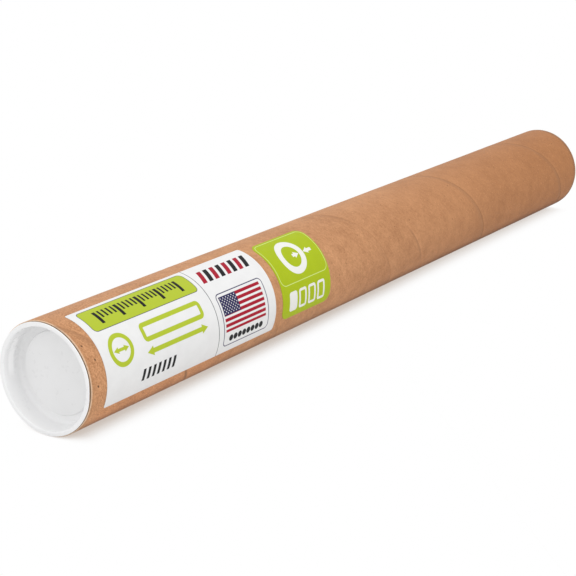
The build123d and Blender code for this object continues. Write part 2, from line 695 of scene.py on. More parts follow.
class PrintPlate:
    """Flat artwork in millimetres: shapes as distances to their outlines, inked one after another.

    A distance is below zero inside its shape. The edge is half the width of a shape's soft edge.
    """

    edge: float = 0.07

    def __init__(self, graph: ShaderGraph, paper: Signal) -> None:
        """Starts with bare paper.

        Args:
            graph: the nodes of the label's material
            paper: colour of the bare paper
        """
        self.graph = graph
        self.across, self.down, _ = graph.parts(graph.map_of("print"))
        self.colour = paper

    def box(self, rect: Rect, corner: float = 0.0) -> Signal:
        """Distance to a rectangle.

        Args:
            rect: the rectangle
            corner: radius of its corners

        Returns:
            The distance in millimetres.
        """
        side = abs(self.across - rect.middle[0]) - (rect.width / 2 - corner)
        rise = abs(self.down - rect.middle[1]) - (rect.height / 2 - corner)
        inside = side.most(rise)
        if corner == 0:
            return inside
        return reach(side.most(0.0), rise.most(0.0)) + inside.least(0.0) - corner

    def disc(self, centre: Point2, radius: float) -> Signal:
        """Distance to a disc."""
        return reach(self.across - centre[0], self.down - centre[1]) - radius

    def arrow(self, tip: Point2, tail: float, head: float, stroke: float) -> Signal:
        """Distance to an arrow along the label.

        Args:
            tip: point of the arrow
            tail: place of its other end along the label
            head: length and width of its head
            stroke: width of its shaft

        Returns:
            The distance in millimetres.
        """
        way = 1.0 if tail > tip[0] else -1.0
        back = (self.across - tip[0]) * way
        off = abs(self.down - tip[1])
        wedge = (off - 0.5 * back).most(back - head)
        shaft = (off - stroke / 2).most(back - abs(tail - tip[0])).most(head * 0.8 - back)
        return wedge.least(shaft)

    def strokes(
        self, row: Rect, period: float, width: float, lean: float = 0.0, shift: float = 0.0
    ) -> Signal:
        """Distance to a row of strokes.

        Args:
            row: the row, with its ends where its upper edge has them
            period: distance from stroke to stroke
            width: width of a stroke
            lean: how far to the left a stroke goes for each millimetre down
            shift: how far the strokes are moved from the middles of their periods

        Returns:
            The distance in millimetres.
        """
        run = self.across + lean * (self.down - row.top) - row.left
        stroke = abs((run - shift) % period - period / 2) - width / 2
        ends = abs(run - row.width / 2) - row.width / 2
        return stroke.most(ends).most(abs(self.down - row.middle[1]) - row.height / 2)

    def dots(self, corner: Point2, cell: Point2, radius: float) -> Signal:
        """Distance to a grid of dots.

        Args:
            corner: a corner of the grid
            cell: width and height of its cells, with a dot in the middle of each
            radius: radius of a dot

        Returns:
            The distance in millimetres.
        """
        side = (self.across - corner[0]) % cell[0] - cell[0] / 2
        rise = (self.down - corner[1]) % cell[1] - cell[1] / 2
        return reach(side, rise) - radius

    def fill(self, distance: Signal, colour: Colour) -> None:
        """Inks the inside of a shape."""
        self.colour = self.graph.blend(distance.ease(self.edge, -self.edge), self.colour, colour)

    def draw(self, distance: Signal, width: float, colour: Colour) -> None:
        """Inks a line of that width along a shape's outline."""
        self.fill(abs(distance) - width / 2, colour)


@dataclass(frozen=True)
class LabelStock:
    """Smooth label paper.

    Attributes:
        paper: colour of the bare paper
        gloss: roughness of its face
    """

    paper: Colour
    gloss: float = 0.5

    def plate(self, name: str) -> PrintPlate:
        """Lays bare paper, with its faint look-through, under a new material's artwork.

        Args:
            name: name of the material

        Returns:
            The plate that takes the artwork.
        """
        graph = ShaderGraph.of_material(name)
        cloud = graph.clouds(graph.map_of("print"), 7.0, detail=4.0, roughness=0.6)
        bare = graph.blend(cloud.ease(0.3, 0.7), scaled(self.paper, 0.98), scaled(self.paper, 1.015))
        return PrintPlate(graph, bare)

    def finish(self, plate: PrintPlate) -> bpy.types.Material:
        """Ends the material of a printed label.

        Args:
            plate: the finished artwork

        Returns:
            The material.
        """
        graph = plate.graph
        sheet = graph.map_of("print")
        tooth = graph.clouds(sheet, 0.6, detail=3.0)
        wave = graph.clouds(sheet, 16.0)
        return graph.surface(
            Base_Color=plate.colour,
            Roughness=self.gloss + 0.14 * (tooth - 0.5) + 0.08 * (wave - 0.5),
            Normal=graph.bump(0.15 * tooth + wave, 0.05 * MM),
            Specular_IOR_Level=0.14,
        )


@dataclass(frozen=True)
class SizeLabelPrint:
    """Artwork of the white label: a green rule, size pictures, a tally, a row of dashes and a striped flag.

    Attributes:
        height: height of the label in millimetres
        stock: the bare label
        green: ink of the rule and the pictures
        black: ink of the ticks, the tally, half of the dashes and the row of dots
        grey: ink of the thin lines
        red: ink of the other dashes and the stripes
        navy: ink of the flag's corner and of its box
    """

    height: float
    stock: LabelStock = LabelStock(paper=(0.765, 0.765, 0.763))
    green: Colour = (0.42, 0.51, 0.03)
    black: Colour = (0.006, 0.006, 0.007)
    grey: Colour = (0.07, 0.08, 0.085)
    red: Colour = (0.36, 0.003, 0.02)
    navy: Colour = (0.022, 0.02, 0.085)

    def material(self) -> bpy.types.Material:
        """Builds the printed material.

        Returns:
            The material.
        """
        plate = self.stock.plate("white_label_print")
        self.rule(plate)
        self.pictures(plate)
        self.rows(plate)
        self.flag(plate)
        return self.stock.finish(plate)

    def rule(self, plate: PrintPlate) -> None:
        """Prints a green bar with the ticks of a measuring rule, every fifth of them long and bold.

        Args:
            plate: the artwork
        """
        bar = plate.box(Rect(4.5, 1.9, 80.3, 15.4), 2.5)
        plate.fill(bar, self.green)
        plate.draw(bar, 0.35, self.grey)
        spacing = 2.9
        margin = 1.0
        for period, width, bottom in ((spacing, 1.3, 9.6), (5 * spacing, 2.0, 12.6)):
            row = Rect(12.4, 4.8, 12.4 + 20 * spacing + 2 * margin, bottom)
            plate.fill(plate.strokes(row, period, width, shift=margin + period / 2), self.black)

    def pictures(self, plate: PrintPlate) -> None:
        """Prints the tube's end with its width and its side with its length.

        Args:
            plate: the artwork
        """
        stroke = 2.3
        end = (13.6, 26.9)
        plate.draw(plate.disc(end, 6.8), stroke, self.green)
        for tip in (8.4, 18.8):
            plate.fill(plate.arrow((tip, end[1]), end[0], 3.2, 1.5), self.green)
        plate.draw(plate.box(Rect(30.8, 20.4, 73.7, 27.4), 1.6), stroke, self.green)
        for tip in (29.4, 75.1):
            plate.fill(plate.arrow((tip, 33.2), 52.0, 4.6, stroke), self.green)

    def rows(self, plate: PrintPlate) -> None:
        """Prints a tally of strokes, a thin line down the label, and dashes that are red and black by turns.

        Args:
            plate: the artwork
        """
        plate.fill(plate.strokes(Rect(24.8, 39.8, 50.7, 45.4), 3.7, 1.9, lean=0.25), self.black)
        plate.fill(plate.box(Rect(83.1, -1.0, 83.5, self.height + 1)), self.grey)
        dashes = Rect(88.6, 5.2, 128.6, 13.2)
        period = 5.0
        plate.fill(plate.strokes(dashes, period, 3.1, lean=0.35), self.black)
        plate.fill(plate.strokes(dashes, 2 * period, 3.1, lean=0.35, shift=-period / 2), self.red)

    def flag(self, plate: PrintPlate) -> None:
        """Prints a flag of stripes with a dotted corner above a row of dots, in a box with a thin outline.

        Args:
            plate: the artwork
        """
        plate.draw(plate.box(Rect(87.5, 20.8, 125.0, 47.5), 2.5), 0.5, self.navy)
        cloth = Rect(89.0, 22.4, 122.6, 40.3)
        stripe = cloth.height / 13
        ink_spread = 0.26
        band = abs((plate.down - cloth.top) % (2 * stripe) - stripe / 2) - (stripe / 2 + ink_spread)
        plate.fill(band.most(plate.box(cloth)), self.red)
        canton = Rect(cloth.left, cloth.top, cloth.left + 13.4, cloth.top + 7 * stripe)
        plate.fill(plate.box(canton), self.navy)
        step = canton.width / 12
        drop = canton.height / 10
        within = plate.box(canton.inset(step / 2))
        for row in (0, 1):
            corner = (canton.left - row * step, canton.top - row * drop)
            plate.fill(plate.dots(corner, (2 * step, 2 * drop), 0.31).most(within), self.stock.paper)
        foot = Rect(91.7, 41.0, 120.5, 47.0)
        dots = plate.dots((foot.left, foot.top), (foot.width / 8, foot.height), 1.65)
        plate.fill(dots.most(plate.box(foot)), self.black)


@dataclass(frozen=True)
class GradeLabelPrint:
    """Artwork of the green label: a white ring for the wall above a scale of four steps.

    Attributes:
        stock: the bare label
        white: ink of the ring, its arrows and the scale
        pale: ink of the thin outline
    """

    stock: LabelStock = LabelStock(paper=(0.375, 0.475, 0.004))
    white: Colour = (0.78, 0.78, 0.74)
    pale: Colour = (0.58, 0.72, 0.22)

    def material(self) -> bpy.types.Material:
        """Builds the printed material.

        Returns:
            The material.
        """
        plate = self.stock.plate("green_label_print")
        plate.draw(plate.box(Rect(1.4, 1.3, 44.1, 28.3), 4.0), 0.4, self.pale)
        ring = (20.5, 14.8)
        plate.draw(plate.disc(ring, 8.4), 3.8, self.white)
        for tip, tail in ((31.0, 38.0), (26.6, 21.0)):
            plate.fill(plate.arrow((tip, ring[1]), tail, 3.8, 1.8), self.white)
        outline = 1.4
        for step in range(4):
            left = 6.4 + step * 8.6
            mark = plate.box(Rect(left, 32.2, left + 6.9, 42.6), 1.6)
            if step == 0:
                plate.fill(mark, self.white)
            else:
                plate.draw(mark + outline / 2, outline, self.white)
        return self.stock.finish(plate)


@dataclass(frozen=True)
class TubeFrame:
    """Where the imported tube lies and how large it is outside.

    Attributes:
        radius: outer radius
        axis_height: height of the axis
        near_end: place of the near end along X
        length: length of the board
    """

    radius: float
    axis_height: float
    near_end: float
    length: float

    @classmethod
    def from_record(cls, record: dict[str, Any]) -> "TubeFrame":
        """Reads the sizes from the mount round the outside of the tube.

        Args:
            record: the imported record

        Returns:
            The frame.
        """
        mount = next(mount for mount in record["mounts"] if mount["name"] == "tube_outside")
        length = mount["dims"]["length_mm"] * MM
        middle, _, height = mount["pos_m"]
        return cls(mount["dims"]["r_mm"] * MM, height, middle - length / 2, length)

    def end_place(self, end: End) -> float:
        """Place of an end along X."""
        return self.near_end + (self.length if end is End.FAR else 0.0)

    def point(self, along: float, angle: float, radius: float) -> Point3:
        """A point on the tube.

        Args:
            along: distance from the near end
            angle: angle from the top towards the labels, in radians
            radius: distance from the axis

        Returns:
            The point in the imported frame.
        """
        return (
            self.near_end + along,
            -radius * math.sin(angle),
            self.axis_height + radius * math.cos(angle),
        )

    def angle_of(self, point: Vector) -> float:
        """The angle of a point from the top towards the labels, in radians."""
        return math.atan2(-point.y, point.z - self.axis_height)

    def radius_of(self, point: Vector) -> float:
        """The distance of a point from the axis."""
        return math.hypot(point.y, point.z - self.axis_height)


def closed_mesh(
    name: str, points: Sequence[Point3], faces: Sequence[tuple[int, ...]]
) -> bpy.types.Mesh:
    """Makes a mesh whose faces all look outward.

    Args:
        name: name of the mesh
        points: its points
        faces: its faces, as numbers of points

    Returns:
        The mesh.
    """
    mesh = bpy.data.meshes.new(name)
    mesh.from_pydata(points, [], faces)
    bm = bmesh.new()
    bm.from_mesh(mesh)
    bmesh.ops.recalc_face_normals(bm, faces=bm.faces)
    bm.to_mesh(mesh)
    bm.free()
    return mesh


def finish_piece(
    mesh: bpy.types.Mesh,
    finishes: Iterable[bpy.types.Material],
    crease: float,
    node: str,
    body: str,
    slot: str,
) -> bpy.types.Object:
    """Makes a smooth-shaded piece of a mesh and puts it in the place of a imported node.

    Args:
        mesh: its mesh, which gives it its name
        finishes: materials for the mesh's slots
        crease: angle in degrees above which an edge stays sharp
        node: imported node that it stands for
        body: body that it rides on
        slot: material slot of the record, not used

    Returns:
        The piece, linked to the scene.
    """
    for finish in finishes:
        mesh.materials.append(finish)
    mesh.shade_smooth()
    mesh.set_sharp_from_angle(angle=math.radians(crease))
    piece = bpy.data.objects.new(mesh.name, mesh)
    bpy.context.scene.collection.objects.link(piece)
    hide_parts(node)
    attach(piece, body)
    log.info("%s stands for %s with %d faces", piece.name, node, len(mesh.polygons))
    return piece


@dataclass
class WoundSkin:
    """One side of the wound board: a strip that runs round in a helix and meets itself at a seam.

    Attributes:
        tube: the tube's frame
        radius: radius of the surface
        pitch: advance of the strip in a turn
        seam_angle: angle of the seam at the near end, in degrees
        profile: distances along the axis from the seam's middle, with the height of the surface there
        steps: points in a turn
        unevenness: height of the surface's gentle waves
        face: which face of the board it is
        spare: steps that the strip runs past the ends of the tube
        long_wave: length of the broader waves
        short_wave: length of the finer waves, which are half as high
    """

    tube: TubeFrame
    radius: float
    pitch: float
    seam_angle: float
    profile: list[Point2]
    steps: int
    unevenness: float
    face: BoardFace
    spare: int = 4
    long_wave: float = 22 * MM
    short_wave: float = 9 * MM

    def strip_place(self, angle: float, along: float) -> Point2:
        """Where a point lies on the unrolled strip.

        Args:
            angle: angle round the tube, in radians, counted on through the turns
            along: distance from the near end

        Returns:
            The place along and across the strip, in millimetres.
        """
        arc = self.radius * (angle - math.radians(self.seam_angle)) / MM
        rise = along / MM
        slope = math.atan2(self.pitch, TURN * self.radius)
        return (
            arc * math.cos(slope) + rise * math.sin(slope),
            rise * math.cos(slope) - arc * math.sin(slope),
        )

    def add_to(self, bm: bmesh.types.BMesh, strip: bmesh.types.BMLayerItem) -> None:
        """Adds the surface to a mesh, running past both ends of the tube.

        Args:
            bm: the mesh
            strip: its map of the unrolled strip
        """
        angle_step = TURN / self.steps
        first = -self.steps - self.spare
        last = math.ceil(self.tube.length / self.pitch * self.steps) + self.spare
        rows: dict[int, list[bmesh.types.BMVert]] = {}
        for step in range(first, last + 1):
            angle = math.radians(self.seam_angle) + step * angle_step
            start = self.pitch * step / self.steps
            rows[step] = [bm.verts.new(self.surface_point(angle, start + q, h)) for q, h in self.profile]
        for step in range(first, last):
            corners = list(zip(rows[step], rows[step + 1]))
            later, beside_later = rows.get(step + self.steps), rows.get(step + 1 + self.steps)
            if later and beside_later:
                corners.append((later[0], beside_later[0]))
            angle = math.radians(self.seam_angle) + step * angle_step
            for (a, b), (d, c) in zip(corners, corners[1:]):
                quad = (a, b, c, d) if self.face is BoardFace.OUTSIDE else (d, c, b, a)
                made = bm.faces.new(quad)
                made.material_index = self.face
                turned = {a: angle, d: angle, b: angle + angle_step, c: angle + angle_step}
                for loop in made.loops:
                    along = loop.vert.co.x - self.tube.near_end
                    loop[strip].uv = self.strip_place(turned[loop.vert], along)

    def surface_point(self, angle: float, along: float, height: float) -> Point3:
        """A point of the surface, with the waves of the board and the flat that it lies on.

        Args:
            angle: angle round the tube, in radians
            along: distance from the near end
            height: height of the strip's own profile there

        Returns:
            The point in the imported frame.
        """
        spot = Vector(self.tube.point(along, angle, self.radius))
        wave = noise.noise(spot / self.long_wave) + 0.5 * noise.noise(spot / self.short_wave)
        x, y, z = self.tube.point(along, angle, self.radius + height + self.unevenness * wave)
        return (x, y, max(z, 0.0))


@dataclass
class PaperTube:
    """The wound kraft tube: its outer strip with the seam, the bore and the two cut ends.

    Attributes:
        tube: the tube's frame
        wall: thickness of the board
        pitch: advance of the strips in a turn
        seam_angle: angle of the outer seam at the near end, in degrees
        bore_seam_angle: angle of the lining's seam there
        seam_gap: width of the seam, square to it
        seam_depth: depth of the seam
        seam_wall: run of its sloping walls
        lip_rise: rise of the strip's edge after the seam
        shoulder_drop: fall of the strip's edge before the seam
        under_seam: distance along the axis to the seam of the strip below
        under_seam_dip: dip of the outer strip over that seam
        bore_seam_depth: depth of the lining's seam
        edge_round: rounding of the cut edges
        edge_cuts: places of the cuts that round an edge, as shares of its rounding
        plies: places of the rings in a cut end, as shares of the wall
        ply_steps: points in each of those rings
        cut_roughness: height of the roughness of a cut end
        cut_grain: size of that roughness
        cut_setback: how far the plies lie back from the edges of the cut
        outside_colour: colour of the outer strip
        bore_colour: colour of the lining
        speck_places: single dark specks, as millimetres from the near end and degrees from the top
        crease_places: short creases over the seam below, in the same way, each with the strength of its
            painted shade
    """

    tube: TubeFrame
    wall: float = 1.524 * MM
    pitch: float = 114.6 * MM
    seam_angle: float = 15.4
    bore_seam_angle: float = 155.4
    seam_gap: float = 0.2 * MM
    seam_depth: float = 0.06 * MM
    seam_wall: float = 0.1 * MM
    lip_rise: float = 0.03 * MM
    shoulder_drop: float = 0.05 * MM
    under_seam: float = 37.0 * MM
    under_seam_dip: float = 0.06 * MM
    bore_seam_depth: float = 0.12 * MM
    edge_round: float = 0.12 * MM
    edge_cuts: tuple[float, ...] = (1.0, 0.6, 0.3, 0.1)
    plies: tuple[float, ...] = (0.25, 0.5, 0.75)
    ply_steps: int = 180
    cut_roughness: float = 0.05 * MM
    cut_grain: float = 0.9 * MM
    cut_setback: float = 0.02 * MM
    outside_colour: Colour = (0.50, 0.246, 0.116)
    bore_colour: Colour = (0.45, 0.26, 0.15)
    speck_places: Marks = ((2.75, 47.0), (6.25, 63.5), (4.5, 88.5))
    crease_places: Marks = ((288.5, 92.0, 0.34), (73.4, 126.0, 0.75))

    @property
    def bore_radius(self) -> float:
        """Radius of the bore."""
        return self.tube.radius - self.wall

    @property
    def slant(self) -> float:
        """Cosine of the outer strip's slope round the tube."""
        return math.cos(math.atan2(self.pitch, TURN * self.tube.radius))

    def outside(self) -> WoundSkin:
        """The outer strip, with its profile from one side of the seam to its other side a turn later.

        Returns:
            The skin.
        """
        start = 0.5 * self.seam_gap / self.slant
        end = self.pitch - start
        under = self.under_seam
        marks = [
            (start - self.seam_wall, -self.seam_depth),
            (start, 0.0),
            (start + 0.4 * MM, self.lip_rise),
            (start + 1.2 * MM, self.lip_rise),
            (start + 4.5 * MM, 0.0),
            (under - 2.4 * MM, 0.0),
            (under - 0.7 * MM, -0.6 * self.under_seam_dip),
            (under, -self.under_seam_dip),
            (under + 0.5 * MM, -0.4 * self.under_seam_dip),
            (under + 1.5 * MM, 0.0),
            (end - 5.0 * MM, 0.0),
            (end - 2.0 * MM, -0.5 * self.shoulder_drop),
            (end, -self.shoulder_drop),
            (end + self.seam_wall, -self.seam_depth),
        ]
        profile = self.filled(marks, 5.0 * MM)
        return WoundSkin(
            self.tube, self.tube.radius, self.pitch, self.seam_angle, profile,
            steps=180, unevenness=0.035 * MM, face=BoardFace.OUTSIDE,
        )

    def bore(self) -> WoundSkin:
        """The lining, with a shallow seam.

        Returns:
            The skin.
        """
        marks = [
            (0.3 * MM, self.bore_seam_depth),
            (0.5 * MM, 0.0),
            (self.pitch - 0.5 * MM, 0.0),
            (self.pitch - 0.3 * MM, self.bore_seam_depth),
        ]
        profile = self.filled(marks, 9.0 * MM)
        return WoundSkin(
            self.tube, self.bore_radius, self.pitch, self.bore_seam_angle, profile,
            steps=96, unevenness=0.03 * MM, face=BoardFace.BORE,
        )

    @staticmethod
    def filled(marks: Sequence[Point2], longest: float) -> list[Point2]:
        """Adds points to a profile so that no run is longer than a limit.

        Args:
            marks: the profile's own points
            longest: the limit

        Returns:
            The filled profile.
        """
        profile = [marks[0]]
        for (start, low), (end, high) in zip(marks, marks[1:]):
            runs = math.ceil((end - start) / longest)
            for run in range(1, runs + 1):
                share = run / runs
                profile.append((start + share * (end - start), low + share * (high - low)))
        return profile

    def build(self) -> bpy.types.Object:
        """Builds the tube as one closed mesh and puts it in the place of its node.

        Returns:
            The piece.
        """
        bm = bmesh.new()
        strip = bm.loops.layers.uv.new("strip")
        outside = self.outside()
        outside.add_to(bm, strip)
        self.bore().add_to(bm, strip)
        for end in End:
            self.cut_end(bm, end)
        bmesh.ops.recalc_face_normals(bm, faces=bm.faces)
        mesh = bpy.data.meshes.new("paper_tube")
        bm.to_mesh(mesh)
        bm.free()
        finishes = self.finishes(outside)
        return finish_piece(mesh, finishes, crease=28.0, node="tube", body="tube", slot="kraft_board")

    def finishes(self, outside: WoundSkin) -> list[bpy.types.Material]:
        """The materials of the board's faces.

        Args:
            outside: the outer strip

        Returns:
            The materials, in the order of BoardFace.
        """
        half_length = self.tube.length / 2
        strip_width = self.pitch * self.slant / MM
        specks = self.on_strip(outside, self.speck_places)
        creases = self.on_strip(outside, self.crease_places)
        skin = KraftPaper("kraft_outside", self.outside_colour, strip_width, half_length, specks, creases)
        lining = KraftPaper("kraft_bore", self.bore_colour, strip_width, half_length)
        cut = CutBoard(self.tube.axis_height, self.tube.radius)
        return [skin.material(), cut.material(), lining.material()]

    def on_strip(self, outside: WoundSkin, marks: Marks) -> Marks:
        """Places of single marks on the unrolled strip, each on the turn that reaches it.

        Args:
            outside: the outer strip
            marks: distances from the near end and angles, with what else belongs to each mark

        Returns:
            The places along and across the strip, with the same.
        """
        places = []
        for along, angle, *rest in marks:
            turn = math.floor(along * MM / self.pitch - (angle - self.seam_angle) / 360)
            place = outside.strip_place(math.radians(angle) + TURN * turn, along * MM)
            places.append((*place, *rest))
        return tuple(places)

    def cut_end(self, bm: bmesh.types.BMesh, end: End) -> None:
        """Cuts both skins off square at one end and closes the board between them.

        Args:
            bm: the mesh with both skins
            end: which end
        """
        place = self.tube.end_place(end)
        for share in self.edge_cuts:
            self.slice(bm, place - end.value * share * self.edge_round, end, False)
        edges = self.slice(bm, place, end, True)
        for vert in bm.verts:
            self.round_over(vert, place)
        inner, outer = sorted(self.chains(edges), key=lambda ring: self.tube.radius_of(ring[0].co))
        rings = [outer]
        for share in self.plies:
            radius = self.tube.radius - share * self.wall
            rings.append([bm.verts.new(self.cut_point(place, radius, k)) for k in range(self.ply_steps)])
        rings.append(inner)
        for ring, beside in zip(rings, rings[1:]):
            self.zip_rings(bm, ring, beside)

    @staticmethod
    def slice(bm: bmesh.types.BMesh, place: float, end: End, clear: bool) -> list[bmesh.types.BMEdge]:
        """Cuts a mesh across the axis.

        Args:
            bm: the mesh
            place: place of the cut along X
            end: end that the cut faces
            clear: whether what lies past the cut goes

        Returns:
            The edges along the cut.
        """
        cut = bmesh.ops.bisect_plane(
            bm,
            geom=[*bm.verts, *bm.edges, *bm.faces],
            dist=CUT_TOLERANCE,
            plane_co=(place, 0, 0),
            plane_no=(end.value, 0, 0),
            clear_outer=clear,
        )
        return [item for item in cut["geom_cut"] if isinstance(item, bmesh.types.BMEdge)]

    def round_over(self, vert: bmesh.types.BMVert, place: float) -> None:
        """Draws a point beside a cut in towards the middle of the board, so that the edge is round.

        Args:
            vert: the point
            place: place of the cut along X
        """
        left = self.edge_round - abs(vert.co.x - place)
        if left <= 0:
            return
        inset = self.edge_round - math.sqrt(max(self.edge_round**2 - left**2, 0.0))
        radius = self.tube.radius_of(vert.co)
        way = -1 if radius > self.bore_radius + self.wall / 2 else 1
        factor = (radius + way * inset) / radius
        vert.co.y *= factor
        vert.co.z = self.tube.axis_height + (vert.co.z - self.tube.axis_height) * factor

    def cut_point(self, place: float, radius: float, step: int) -> Point3:
        """A point of the rough cut between the two skins.

        Args:
            place: place of the cut along X
            radius: distance from the axis
            step: number of the point in its ring

        Returns:
            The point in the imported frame.
        """
        _, y, z = self.tube.point(0.0, TURN * step / self.ply_steps, radius)
        rough = self.cut_roughness * noise.noise(Vector((place, y, z)) / self.cut_grain)
        return (place + rough - math.copysign(self.cut_setback, place), y, z)

    @staticmethod
    def chains(edges: Iterable[bmesh.types.BMEdge]) -> list[list[bmesh.types.BMVert]]:
        """Orders edges into closed rings.

        Args:
            edges: the edges, in any order

        Returns:
            The points of each ring.
        """
        beside: dict[bmesh.types.BMVert, list[bmesh.types.BMVert]] = {}
        for edge in edges:
            for vert in edge.verts:
                beside.setdefault(vert, []).append(edge.other_vert(vert))
        rings = []
        while beside:
            vert = next(iter(beside))
            ring = []
            while vert is not None:
                ring.append(vert)
                nexts = beside.pop(vert)
                vert = next((other for other in nexts if other in beside), None)
            rings.append(ring)
        return rings

    def zip_rings(
        self, bm: bmesh.types.BMesh, first: list[bmesh.types.BMVert], second: list[bmesh.types.BMVert]
    ) -> None:
        """Joins two rings of points round the axis with triangles.

        Args:
            bm: the mesh
            first: one ring
            second: the other ring
        """
        rings = [sorted(ring, key=lambda vert: self.tube.angle_of(vert.co)) for ring in (first, second)]
        ahead = []
        for ring in rings:
            angles = [self.tube.angle_of(vert.co) for vert in ring]
            ahead.append([*angles[1:], angles[0] + TURN, math.inf])
        at = [0, 0]
        while at[0] < len(rings[0]) or at[1] < len(rings[1]):
            side = 1 if ahead[1][at[1]] < ahead[0][at[0]] else 0
            here = [ring[index % len(ring)] for ring, index in zip(rings, at)]
            at[side] += 1
            made = bm.faces.new((*here, rings[side][at[side] % len(rings[side])]))
            made.material_index = BoardFace.CUT


def rounded(corners: Sequence[Point3], arc_steps: int) -> list[Point2]:
    """Rounds the corners of an outline.

    Args:
        corners: places of the corners, each with the radius of its rounding
        arc_steps: runs in each rounding

    Returns:
        The points of the rounded outline.
    """
    points: list[Point2] = []
    for index, (x, y, radius) in enumerate(corners):
        if radius == 0:
            points.append((x, y))
            continue
        corner = Vector((x, y))
        before = (Vector(corners[index - 1][:2]) - corner).normalized()
        after = (Vector(corners[index + 1][:2]) - corner).normalized()
        half = before.angle(after) / 2
        centre = corner + (before + after).normalized() * (radius / math.sin(half))
        first = corner + before * (radius / math.tan(half)) - centre
        last = corner + after * (radius / math.tan(half)) - centre
        sweep = first.angle_signed(last)
        for step in range(arc_steps + 1):
            turned = first.copy()
            turned.rotate(Matrix.Rotation(-sweep * step / arc_steps, 2))
            points.append(tuple(centre + turned))
    return points


@dataclass
class EndCap:
    """A push-in cap: a cup with a flange over the cut end of the tube.

    Attributes:
        tube: the tube's frame
        end: end of the tube that it closes
        flange_radius: outer radius of the flange
        flange_thickness: thickness of the flange
        flange_gap: gap between the flange and the board
        flange_lift: how far the flange stands off where it is lifted
        flange_root: rounding where it meets the plug
        lift_angle: middle of the lifted place, in degrees from the top
        lift_spread: half of its width, in degrees
        edge_round: rounding of the flange's outer edges
        mouth_radius: radius of the recess at its mouth
        mouth_round: rounding of the mouth
        plug_radius: radius of the plug under the flange
        recess_depth: depth of the recess to its groove round the panel
        recess_round: rounding at the foot of the recess
        floor_thickness: thickness of the floor
        draft: taper of the plug and the recess, in degrees
        lead_in: rounding of the plug's far edge
        panel_inset: width of the ring round the raised panel in the floor
        panel_rise: rise of that panel
        panel_slope: run of its edge, as a share of its rise
        panel_round: rounding of that edge
        steps: points round the cap
        arc_steps: runs in each rounding of the section
    """

    tube: TubeFrame
    end: End
    flange_radius: float = 26.504 * MM
    flange_thickness: float = 0.65 * MM
    flange_gap: float = 0.4 * MM
    flange_lift: float = 0.4 * MM
    flange_root: float = 0.15 * MM
    lift_angle: float = 93.0
    lift_spread: float = 17.0
    edge_round: float = 0.3 * MM
    mouth_radius: float = 24.3 * MM
    mouth_round: float = 0.7 * MM
    plug_radius: float = 25.3 * MM
    recess_depth: float = 10.35 * MM
    recess_round: float = 2.0 * MM
    floor_thickness: float = 0.85 * MM
    draft: float = 2.0
    lead_in: float = 1.4 * MM
    panel_inset: float = 2.25 * MM
    panel_rise: float = 0.8 * MM
    panel_slope: float = 0.6
    panel_round: float = 0.4 * MM
    steps: int = 176
    arc_steps: int = 9

    @property
    def taper(self) -> float:
        """Tangent of the draft."""
        return math.tan(math.radians(self.draft))

    @property
    def recess_radius(self) -> float:
        """Radius at the foot of the recess."""
        return self.mouth_radius - self.recess_depth * self.taper

    @property
    def panel_radius(self) -> float:
        """Radius of the panel in the floor."""
        return self.recess_radius - self.recess_round - self.panel_inset

    def section(self) -> list[Point2]:
        """Half of the cap's section, from the recess round to the plug.

        Returns:
            The points of the section, as depth into the tube and radius.
        """
        rim = -(self.flange_gap + self.flange_thickness)
        floor = rim + self.recess_depth
        back = floor + self.floor_thickness
        corners = [
            (floor - self.panel_rise, 0.0, 0.0),
            (floor - self.panel_rise, self.panel_radius, self.panel_round),
            (floor, self.panel_radius + self.panel_slope * self.panel_rise, self.panel_round),
            (floor, self.recess_radius, self.recess_round),
            (rim, self.mouth_radius, self.mouth_round),
            (rim, self.flange_radius, self.edge_round),
            (-self.flange_gap, self.flange_radius, self.edge_round),
            (-self.flange_gap, self.plug_radius, self.flange_root),
            (back, self.plug_radius - (back + self.flange_gap) * self.taper, self.lead_in),
            (back, 0.0, 0.0),
        ]
        return rounded(corners, self.arc_steps)

    def lift(self, angle: float, radius: float) -> float:
        """How far the flange is bent up off the board at a point.

        Args:
            angle: angle of the point from the top, in radians
            radius: distance of the point from the axis

        Returns:
            The lift, which is nothing inside the mouth.
        """
        off = (math.degrees(angle) - self.lift_angle) / self.lift_spread
        bend = (radius - self.mouth_radius) / (self.flange_radius - self.mouth_radius)
        return self.flange_lift * max(1 - off * off, 0.0) ** 2 * min(max(bend, 0.0), 1.0)

    def point(self, depth: float, angle: float, radius: float) -> Point3:
        """A point of the cap at a depth into the tube."""
        place = self.tube.end_place(self.end) - self.tube.near_end
        return self.tube.point(place - self.end.value * depth, angle, radius)

    def finish(self) -> bpy.types.Material:
        """The plastic of the cap."""
        rim_place = self.tube.length / 2 + self.flange_gap + self.flange_thickness
        return MouldedPlastic(self.tube.axis_height, rim_place, self.panel_radius).material()

    def build(self) -> bpy.types.Object:
        """Turns the section about the tube's axis and puts the cap in the place of its node.

        Returns:
            The piece.
        """
        (front, _), *section, (back, _) = self.section()
        points: list[Point3] = []
        for depth, radius in section:
            for step in range(self.steps):
                angle = TURN * step / self.steps
                points.append(self.point(depth - self.lift(angle, radius), angle, radius))
        last = len(points) - self.steps
        pairs = [(step, (step + 1) % self.steps) for step in range(self.steps)]
        faces: list[tuple[int, ...]] = []
        for low in range(0, last, self.steps):
            high = low + self.steps
            faces.extend((low + a, low + b, high + b, high + a) for a, b in pairs)
        for depth, ring in ((front, 0), (back, last)):
            middle = len(points)
            points.append(self.point(depth, 0.0, 0.0))
            faces.extend((middle, ring + a, ring + b) for a, b in pairs)
        side = self.end.name.lower()
        mesh = closed_mesh(f"{side}_end_cap_moulded", points, faces)
        return finish_piece(
            mesh,
            [self.finish()],
            crease=35.0,
            node=f"{side}_end_cap",
            body=f"{side}_cap",
            slot="white_plastic",
        )


